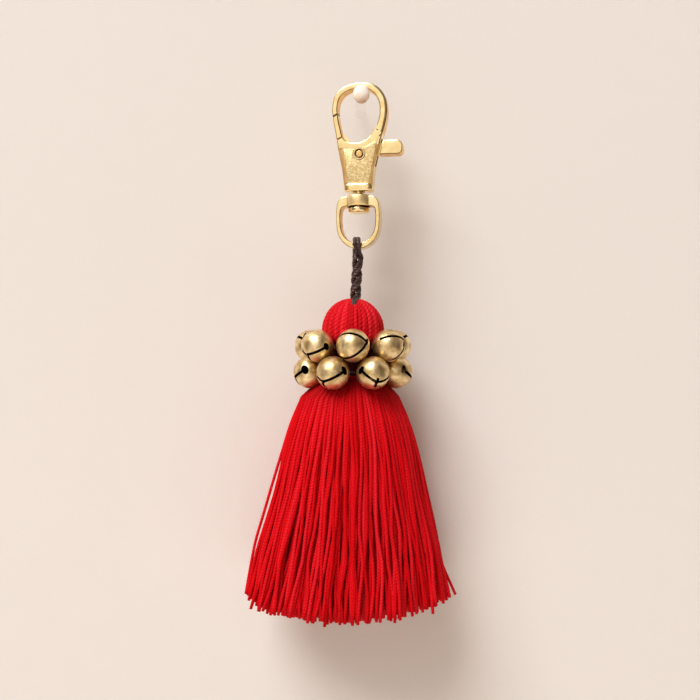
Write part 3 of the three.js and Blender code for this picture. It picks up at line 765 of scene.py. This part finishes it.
def twisted_finish(name, colours, roughness, sheen, sheen_colour, groove, specular):
    """Yarn or cord: two plies run round the strand on its UV map, with fine fibres over them. Painted shade
    darkens the grooves between the plies, and the painted yarn shade scales the colour down.
    """
    plies = 2
    finish, shader = new_finish(name, {
        "Roughness": roughness, "Specular IOR Level": specular,
        "Sheen Weight": sheen, "Sheen Tint": (*sheen_colour, 1)})
    place = add_node(finish, "ShaderNodeUVMap", uv_map="yarn_map")
    apart = add_node(finish, "ShaderNodeSeparateXYZ", {0: place.outputs["UV"]})
    round_way = reckon(finish, "MULTIPLY", apart.outputs["X"], plies)
    along = reckon(finish, "MULTIPLY", apart.outputs["Y"], plies)
    turn = reckon(finish, "MULTIPLY", reckon(finish, "SUBTRACT", round_way, along), 2 * math.pi)
    lifted = add_node(finish, "ShaderNodeMapRange", {
        "Value": reckon(finish, "SINE", turn), "From Min": -1.0, "From Max": 1.0})
    tone = add_node(finish, "ShaderNodeAttribute", attribute_name="yarn_tone")
    fibres = add_node(finish, "ShaderNodeMapRange", {
        "Value": object_noise(finish, 0.18, 2.0), "From Min": 0.3, "From Max": 0.7})
    # Painted shade: the crests of the plies are coloured lighter and the grooves between them darker
    painted_ply_shade = reckon(finish, "MULTIPLY", lifted.outputs[0], 0.26)
    tone_part = reckon(finish, "MULTIPLY", tone.outputs["Fac"], 0.4)
    fibre_part = reckon(finish, "MULTIPLY", fibres.outputs[0], 0.25)
    whole = reckon(finish, "ADD", reckon(finish, "ADD", painted_ply_shade, tone_part), fibre_part)
    # The colour is scaled down by the painted yarn shade
    painted_shade_node = add_node(finish, "ShaderNodeAttribute", attribute_name="painted_yarn_shade")
    with_painted_shade = add_node(finish, "ShaderNodeVectorMath", {
        0: colour_steps(finish, whole, colours), "Scale": painted_shade_node.outputs["Fac"]}, operation="SCALE")
    feed(shader, "Base Color", with_painted_shade.outputs["Vector"])
    bump = add_node(finish, "ShaderNodeBump", {
        "Height": lifted.outputs[0], "Strength": 1.0, "Distance": groove * mm})
    fine = add_node(finish, "ShaderNodeBump", {
        "Height": fibres.outputs[0], "Strength": 0.35, "Distance": 0.00006,
        "Normal": bump.outputs["Normal"]})
    feed(shader, "Normal", fine.outputs["Normal"])
    return finish


waxed_cord = twisted_finish(
    "waxed_cord", [(0.1, (0.014, 0.005, 0.004)), (0.6, (0.08, 0.033, 0.028)), (0.95, (0.25, 0.125, 0.095))],
    roughness=0.35, sheen=0.05, sheen_colour=(0.9, 0.6, 0.5), groove=0.16, specular=0.42)
finish_piece(cord_tether, as_built, [waxed_cord], "pendant", "waxed_cord", "cord_tether")

# Tassel head and neck: thick cotton yarns laid up and over a ball of the same yarn and bound
# below it. They run from the cord down to the neck, side by side.
head_x = -2.06
head_height = -58.2
head_reach = 7.1
crown_stretch = 1.07
first_angle = 8
last_angle = 112
head_end = math.radians(last_angle)
neck_reach = 4.5
neck_drop = 9.5
ball_share = 0.7
neck_share = 0.3
red_yarn = twisted_finish(
    "red_yarn", [(0.05, (0.5, 0.0, 0.001)), (0.5, (0.67, 0.001, 0.005)), (0.95, (0.84, 0.028, 0.046))],
    roughness=0.7, sheen=0.1, sheen_colour=(1.0, 0.1, 0.1), groove=0.05, specular=0.07)
head_yarn = twisted_finish(
    "head_yarn", [(0.05, (0.38, 0.0, 0.002)), (0.5, (0.66, 0.004, 0.011)), (0.95, (0.95, 0.045, 0.065))],
    roughness=0.7, sheen=0.04, sheen_colour=(1.0, 0.1, 0.1), groove=0.05, specular=0.08)

random.seed(4)
head_yarns = 52
head_lines = []
for number in range(head_yarns):
    around = 2 * math.pi * (number + 0.12 * random.uniform(-1, 1)) / head_yarns
    sway, stout = random.uniform(0, 2 * math.pi), random.uniform(0.92, 1.08)
    line = []
    for step in range(64):
        share = step / 63
        if share < ball_share:
            swing = math.radians(first_angle + share / ball_share * (last_angle - first_angle))
            reach, height = head_reach * math.sin(swing), head_reach * math.cos(swing)
            height *= crown_stretch if height > 0 else 1
        else:
            down = (share - ball_share) / neck_share
            drawn_in = max(0.0, 1 - 5 * down) ** 1.5
            reach = neck_reach + (head_reach * math.sin(head_end) - neck_reach) * drawn_in
            height = head_reach * math.cos(head_end) - neck_drop * down
        room_each = 2 * math.pi * reach / head_yarns
        radius = min(0.7, 0.22 + 0.5 * room_each) * stout
        bend = around + 0.02 * math.sin(sway + 9 * share)
        lift = reach + 0.05 * math.sin(2 * sway + 14 * share)
        # Painted shade: the yarns are coloured darker from just below the middle of the ball down the neck,
        # between the bells
        shade = 1.0 if height > -1.5 else max(0.06, 1.0 - 0.45 * (-1.5 - height))
        line.append((Vector((head_x + lift * math.sin(bend), -hang_depth - lift * math.cos(bend),
                             head_height + height)), radius, shade))
    head_lines.append(line)
tassel_head = wind_yarns("tassel_head_yarns", head_lines, 8, 2.0, 0.14)

# A ball of the same yarn, darkened by painted shade, shows between the yarns laid over it
bpy.ops.mesh.primitive_uv_sphere_add(segments=32, ring_count=20, radius=7.0)
core = bpy.context.object
for corner in core.data.vertices:
    corner.co.z *= crown_stretch if corner.co.z > 0 else 1
core.data.transform(Matrix.Translation((head_x, -hang_depth, head_height)))
core.data.uv_layers[0].name = "yarn_map"
core_painted_shade = core.data.attributes.new("painted_yarn_shade", "FLOAT", "POINT")
core_painted_shade.data.foreach_set("value", [0.4] * len(core.data.vertices))
tassel_head = join([tassel_head, core], [head_yarn])
finish_piece(tassel_head, as_built, [head_yarn], "pendant", "yarn")

# Skirt: about a thousand lengths of two-ply red cotton yarn, folded over the neck tie and cut
# level at the bottom. They spread a little and lie in loose locks.
# Each row is a height, the half width, the depths in front and at the back, and the drift sideways.
skirt_rows = [
    (-69.4, 4.4, 4.4, 4.4, 0), (-71.2, 7.6, 7.3, 7.3, -0.2), (-72.8, 10.2, 9.3, 9.2, -0.5),
    (-75.0, 12.4, 10.6, 10.4, -0.75), (-79.5, 14.4, 12.4, 11.8, -0.65), (-85.5, 16.4, 13.5, 12.7, -0.65),
    (-92.0, 17.9, 14.2, 13.2, -0.7), (-99.0, 19.5, 14.9, 13.7, -0.9), (-106.0, 21.4, 15.5, 14.0, -1.1),
    (-113.0, 23.3, 16.1, 14.25, -1.4), (-120.0, 24.8, 16.6, 14.45, -1.7), (-126.4, 25.9, 17.0, 14.6, -2.0)]
skirt_yarns = 1000
yarn_radius = 0.45
half_yarn = 0.42
tip_height = -126.7
shoulder_painted_shade_top = -72.3
shoulder_painted_shade_fade = 4.5
golden = math.pi * (3 - math.sqrt(5))
skirt_lines = []
for number in range(skirt_yarns):
    around = number * golden
    spread = ((number + 0.5) / skirt_yarns) ** 0.36
    sway, swell = random.uniform(0, 2 * math.pi), random.uniform(0, 2 * math.pi)
    lean = random.gauss(0, 1)
    lock = (0.02 * math.sin(7 * around + 3 * spread) + 0.012 * math.sin(13 * around - 5 * spread + 1.3)
            + 0.007 * math.sin(23 * around + 2 * spread + 0.6))
    sideways = abs(math.sin(around)) * spread
    tip = tip_height + 2.5 * sideways ** 2 + random.uniform(-0.45, 0.45)
    if random.random() < 0.07:
        tip -= random.uniform(0.4, 1.1)
    # Painted shade: yarns that lie deep inside the skirt are coloured darker
    shade = 1.0 if spread > 0.8 else 0.85 + 0.15 * max(0.0, (spread - 0.45) / 0.35)
    knots = []
    for level, (height, half_width, front, back, drift) in enumerate(skirt_rows):
        loose = max(0.0, (-76 - height) / 50)
        height = tip if level == len(skirt_rows) - 1 else height
        bend = around + (lock + 0.034 * lean) * loose ** 0.8
        depth = back if math.cos(bend) < 0 else front
        reach = spread * (1 + 0.028 * loose * math.sin(9 * around + 4 * math.sin(2 * around)))
        across = (0.5 * loose ** 0.5 * math.sin(sway + height * 0.21)
                  + 0.3 * loose * math.sin(swell + height * 0.4))
        out = 0.3 * loose ** 0.5 * math.sin(swell + height * 0.17)
        wide = reach * (half_width - half_yarn) + out
        thick = reach * (depth - half_yarn) + out
        knots.append(Vector((head_x + drift + wide * math.sin(bend) + across * math.cos(bend),
                             -hang_depth - thick * math.cos(bend) + across * math.sin(bend), height)))
    shoulder = lay_smoothly(knots[:6], 1)[:4]
    # Painted shade: under the bells the top of the skirt is coloured darker, fading out further down
    line = []
    for point in shoulder + lay_smoothly(knots[3:], 2)[2:]:
        below = max(0.0, (shoulder_painted_shade_top - point.z) / shoulder_painted_shade_fade)
        line.append((point, yarn_radius, shade * min(1.0, 0.45 + 0.55 * below)))
    line[-1] = (line[-1][0], yarn_radius * 0.85, shade)
    skirt_lines.append(line)

# Two yarns have come loose, one at each side
left_loose = [(-10.9, -73.9), (-14.6, -76.0), (-17.2, -80.6), (-19.4, -87.4), (-21.9, -95.6),
              (-24.6, -104.8), (-26.7, -112.2), (-28.9, -124.3)]
right_loose = [(7.0, -73.5), (11.2, -80), (13.9, -90), (16.2, -101), (19.0, -113.5), (23.6, -124.5)]
for rows in (left_loose, right_loose):
    knots = [Vector((x, -hang_depth + 0.5, z)) for x, z in rows]
    skirt_lines.append([(point, 0.85 * yarn_radius) for point in lay_smoothly(knots, 4)])
tassel_skirt = wind_yarns("tassel_skirt_yarns", skirt_lines, 5, 1.5)
finish_piece(tassel_skirt, as_built, [red_yarn], "pendant", "yarn", "yarn_tassel")

# Bells: two rows of seven small brass bells threaded round the neck. Each is pressed from two
# cups crimped at a seam, sawn with two crossing slots that end in keyholes, with a pellet inside.
bell_radius = 4
lower_radius = 3.95
hollow_radius = 3.66
saw_outer = 4.5
saw_inner = 2.9
row_heights = {"upper": -62.2, "lower": -68.7}
row_reach = 11
bells_in_row = 7
seam_and_painted_shade = 1


def arc_rows(radius, angles):
    return [(radius * math.cos(math.radians(angle)), radius * math.sin(math.radians(angle)))
            for angle in angles]


# The cups meet at a seam, where the lower one is a little smaller and the gap between them dark
bell_profile = [(0, bell_radius)]
bell_profile += arc_rows(bell_radius, [90 - 5.9 * step for step in range(1, 16)])
bell_profile += [(4.0, 0.06), (3.985, 0.01), (3.93, -0.02), (3.93, -0.06)]
bell_profile += arc_rows(lower_radius, [-1.2 - 5.9 * step for step in range(1, 16)])
bell_profile += [(0, -lower_radius)]
bell_profile.reverse()

bell_pattern = turn_on_lathe("bell_pattern", bell_profile, 64)
repaint(bell_pattern, seam_and_painted_shade, lambda centre, normal: abs(centre.z + 0.02) < 0.06)
turns = [math.radians(10 * step) for step in range(19)]
hollow_rows = [(hollow_radius * math.sin(turn), -hollow_radius * math.cos(turn)) for turn in turns]
cut(bell_pattern, turn_on_lathe("hollow", hollow_rows, 36))


def on_ball(x, z):
    """The direction to a point on the front of a bell, seen from in front at x and z of its radius."""
    return Vector((x, -math.sqrt(max(0.0, 1 - x * x - z * z)), z)).normalized()


def slot_tool(start, end, half_width):
    """A thin sector that saws a slot from start to end, two directions from the middle of the bell."""
    side = start.cross(end).normalized()
    ahead = side.cross(start)
    reach = start.angle(end)
    steps = max(3, int(reach / 0.12))
    turns = [reach * step / steps for step in range(steps + 1)]
    rows = [(saw_outer * math.cos(turn), saw_outer * math.sin(turn)) for turn in turns]
    rows += [(saw_inner * x / saw_outer, saw_inner * y / saw_outer) for x, y in reversed(rows)]
    tool = cast_outline("slot", [(rows, "straight")], 2 * half_width, 0)
    tool.data.transform(Matrix((start, -side, ahead)).transposed().to_4x4())
    clean(tool)
    return tool


def keyhole_tool(place, toward_point, along, across):
    """An oval drill at place, its length along the way to toward_point."""
    bpy.ops.mesh.primitive_cylinder_add(vertices=24, radius=1, depth=2.2)
    tool = bpy.context.object
    side = place.cross(toward_point).normalized()
    tool.data.transform(Matrix.Translation(3.9 * place)
                        @ Matrix((side.cross(place), side, place)).transposed().to_4x4()
                        @ Matrix.Diagonal((along, across, 1, 1)))
    clean(tool)
    return tool


def dull_metal(name, colours):
    finish, shader = new_finish(name, {"Metallic": 1.0, "Roughness": 0.5})
    mottle(finish, shader, 0.5, 3.0, [(0.3, colours[0]), (0.7, colours[1])])
    return finish


antique_brass = plated_finish(
    "antique_brass", [(0.58, 0.4, 0.17), (0.95, 0.76, 0.44)], (0.32, 0.45), 0.3, 0.12, 3.0, 0.12)
# Near-black metal: the dark gap of the seam, and painted shade inside the shell
seam_and_painted_shade_metal = dull_metal("seam_and_painted_shade_inside", [(0.012, 0.008, 0.006), (0.05, 0.03, 0.02)])
pellet_steel = dull_metal("bell_pellet_steel", [(0.16, 0.08, 0.04), (0.36, 0.21, 0.12)])
bell_finishes = [antique_brass, seam_and_painted_shade_metal]

# Each bell's row and its place in sevenths of a turn. The front bells add, as x and z on the ball:
# the pole of the seam, the two ends of each slot, and each keyhole with the point that it faces,
# its length and its width. The back bells have a plain cross of slots.
bell_rows = [
    ("upper", 0, (0.05, -0.05), [(0.8, 0.2, -0.89, 0.45), (0.8, 0.2, -0.77, -0.64)],
     [(0.83, 0.22, 0.4, 0.55, 0.5, 1.05)]),
    ("upper", 1, (0.05, -0.05), [(-0.56, 0.37, 0.93, 0.32), (0.95, 0.15, 0.15, -0.87)],
     [(0.93, 0.12, 0.6, 0.5, 0.5, 1.0)]),
    ("upper", 2, (0.1, -0.1), [(0.5, 0.52, 0.75, 0.65)], []),
    ("upper", 3),
    ("upper", 4),
    ("upper", 5, (0.1, -0.1), [(-0.8, 0.58, -0.38, 0.4), (-0.44, 0.3, -0.25, 0.8)], []),
    ("upper", 6, (-0.16, -0.57),
     [(0.5, -0.1, -0.6, -0.53), (-0.63, -0.57, -0.9, -0.27), (-0.57, -0.48, -0.38, -0.9)],
     [(0.57, -0.06, -0.6, -0.53, 0.7, 0.98)]),
    ("lower", 0.5, (0.05, -0.05),
     [(-0.66, 0.12, 0.2, -0.52), (0.16, -0.54, 0.96, -0.18), (0.21, -0.62, 0.28, -0.28),
      (0.19, -0.47, 0.1, -0.84)],
     [(-0.74, 0.17, 0.2, -0.52, 0.72, 1.1), (0.2, -0.53, -0.66, 0.12, 0.62, 0.46)]),
    ("lower", 1.5, (0.0, 0.0), [(0.45, 0.08, 0.92, -0.36)], [(0.4, 0.2, 0.45, 0.8, 1.0, 0.6)]),
    ("lower", 2.5),
    ("lower", 3.5),
    ("lower", 4.5),
    ("lower", 5.5, (0.0, 0.0), [(-0.3, 0.12, -0.9, -0.33), (-0.86, -0.28, -0.62, -0.77)],
     [(-0.25, 0.17, -0.88, -0.3, 0.92, 1.16)]),
    ("lower", 6.5, (-0.05, -0.05),
     [(0.62, 0.08, -0.58, -0.5), (-0.54, -0.53, -0.93, -0.2), (-0.59, -0.42, -0.5, -0.82)],
     [(0.7, 0.14, -0.58, -0.5, 0.74, 1.14), (-0.56, -0.5, 0.62, 0.08, 0.6, 0.44)])]
for index, (row, step, *front_look) in enumerate(bell_rows):
    number = f"{row}_bell_{index % bells_in_row + 1:02d}"
    around = 2 * math.pi * step / bells_in_row
    away = Vector((math.sin(around), -math.cos(around), 0))
    centre = Vector((head_x, -hang_depth, row_heights[row])) + row_reach * away
    bell_place = Matrix.Translation(centre * mm)
    if front_look:
        pole, slots, keyholes = front_look
        up = on_ball(*pole)
        cuts = [(on_ball(*rows[:2]), on_ball(*rows[2:]), 0.34) for rows in slots]
        holes = [(on_ball(*rows[:2]), on_ball(*rows[2:4]), *rows[4:]) for rows in keyholes]
    else:
        up = (away + Vector((0, 0, -0.3 * math.cos(3 * index)))).normalized()
        level = up.orthogonal().normalized()
        ends = [(0.3 * up + Matrix.Rotation(quarter * math.pi / 2 + index, 3, up) @ level).normalized()
                for quarter in range(4)]
        cuts = [(ends[0], ends[2], 0.26), (ends[1], ends[3], 0.27)]
        holes = [(arm_end, up, 0.62, 0.95) for arm_end in ends]
    bell = bell_pattern.copy()
    bell.data = bell_pattern.data.copy()
    bell.name = number + "_brass"
    bpy.context.collection.objects.link(bell)
    bell.data.transform(up.to_track_quat("Z", "Y").to_matrix().to_4x4())
    for start, end, half_width in cuts:
        cut(bell, slot_tool(start, end, half_width))
    for hole in holes:
        cut(bell, keyhole_tool(*hole))
    lips = bell.modifiers.new("lips", "BEVEL")
    lips.width = 0.1
    lips.segments = 2
    lips.limit_method = "ANGLE"
    lips.angle_limit = math.radians(50)
    bpy.context.view_layer.objects.active = bell
    bpy.ops.object.modifier_apply(modifier="lips")
    # Painted shade: the inside of the shell and the walls of its slots and keyholes are coloured near-black
    repaint(bell, seam_and_painted_shade, lambda centre, normal: centre.length < 3.9)
    bpy.ops.mesh.primitive_torus_add(
        major_radius=0.9, minor_radius=0.25, major_segments=24, minor_segments=10)
    shank = bpy.context.object
    shank.data.transform(Matrix.Rotation(around - math.pi / 2, 4, "Z") @ Matrix.Translation((-4.4, 0, 0))
                         @ upright)
    bpy.ops.mesh.primitive_uv_sphere_add(segments=20, ring_count=14, radius=1.35)
    pellet = bpy.context.object
    resting = 2.05 * on_ball(0.4, 0.2) if number == "lower_bell_02" else Vector((0, 0.5, -2.1))
    pellet.data.transform(Matrix.Translation(resting))
    pellet.name = number + "_pellet"
    bell = join([bell, shank], bell_finishes)
    smooth(bell, 40)
    finish_piece(bell, bell_place, bell_finishes, "pendant", "bell_brass", number)
    smooth(pellet, 60)
    finish_piece(pellet, bell_place, [pellet_steel], "pendant", "bell_brass")
bpy.data.objects.remove(bell_pattern)

# Bell threads: a ring of the brown cord inside each row, through the shanks of the bells and
# drawn tight round the neck.
thread_finish, thread_shader = new_finish("thread", {"Roughness": 0.5})
mottle(thread_finish, thread_shader, 0.4, 2.0, [(0.3, (0.02, 0.01, 0.01)), (0.7, (0.09, 0.05, 0.045))])
for node in ("upper_bell_thread", "lower_bell_thread"):
    ring_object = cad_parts[node]
    ring_object.data.materials.clear()
    ring_object.data.materials.append(thread_finish)

bpy.context.view_layer.update()
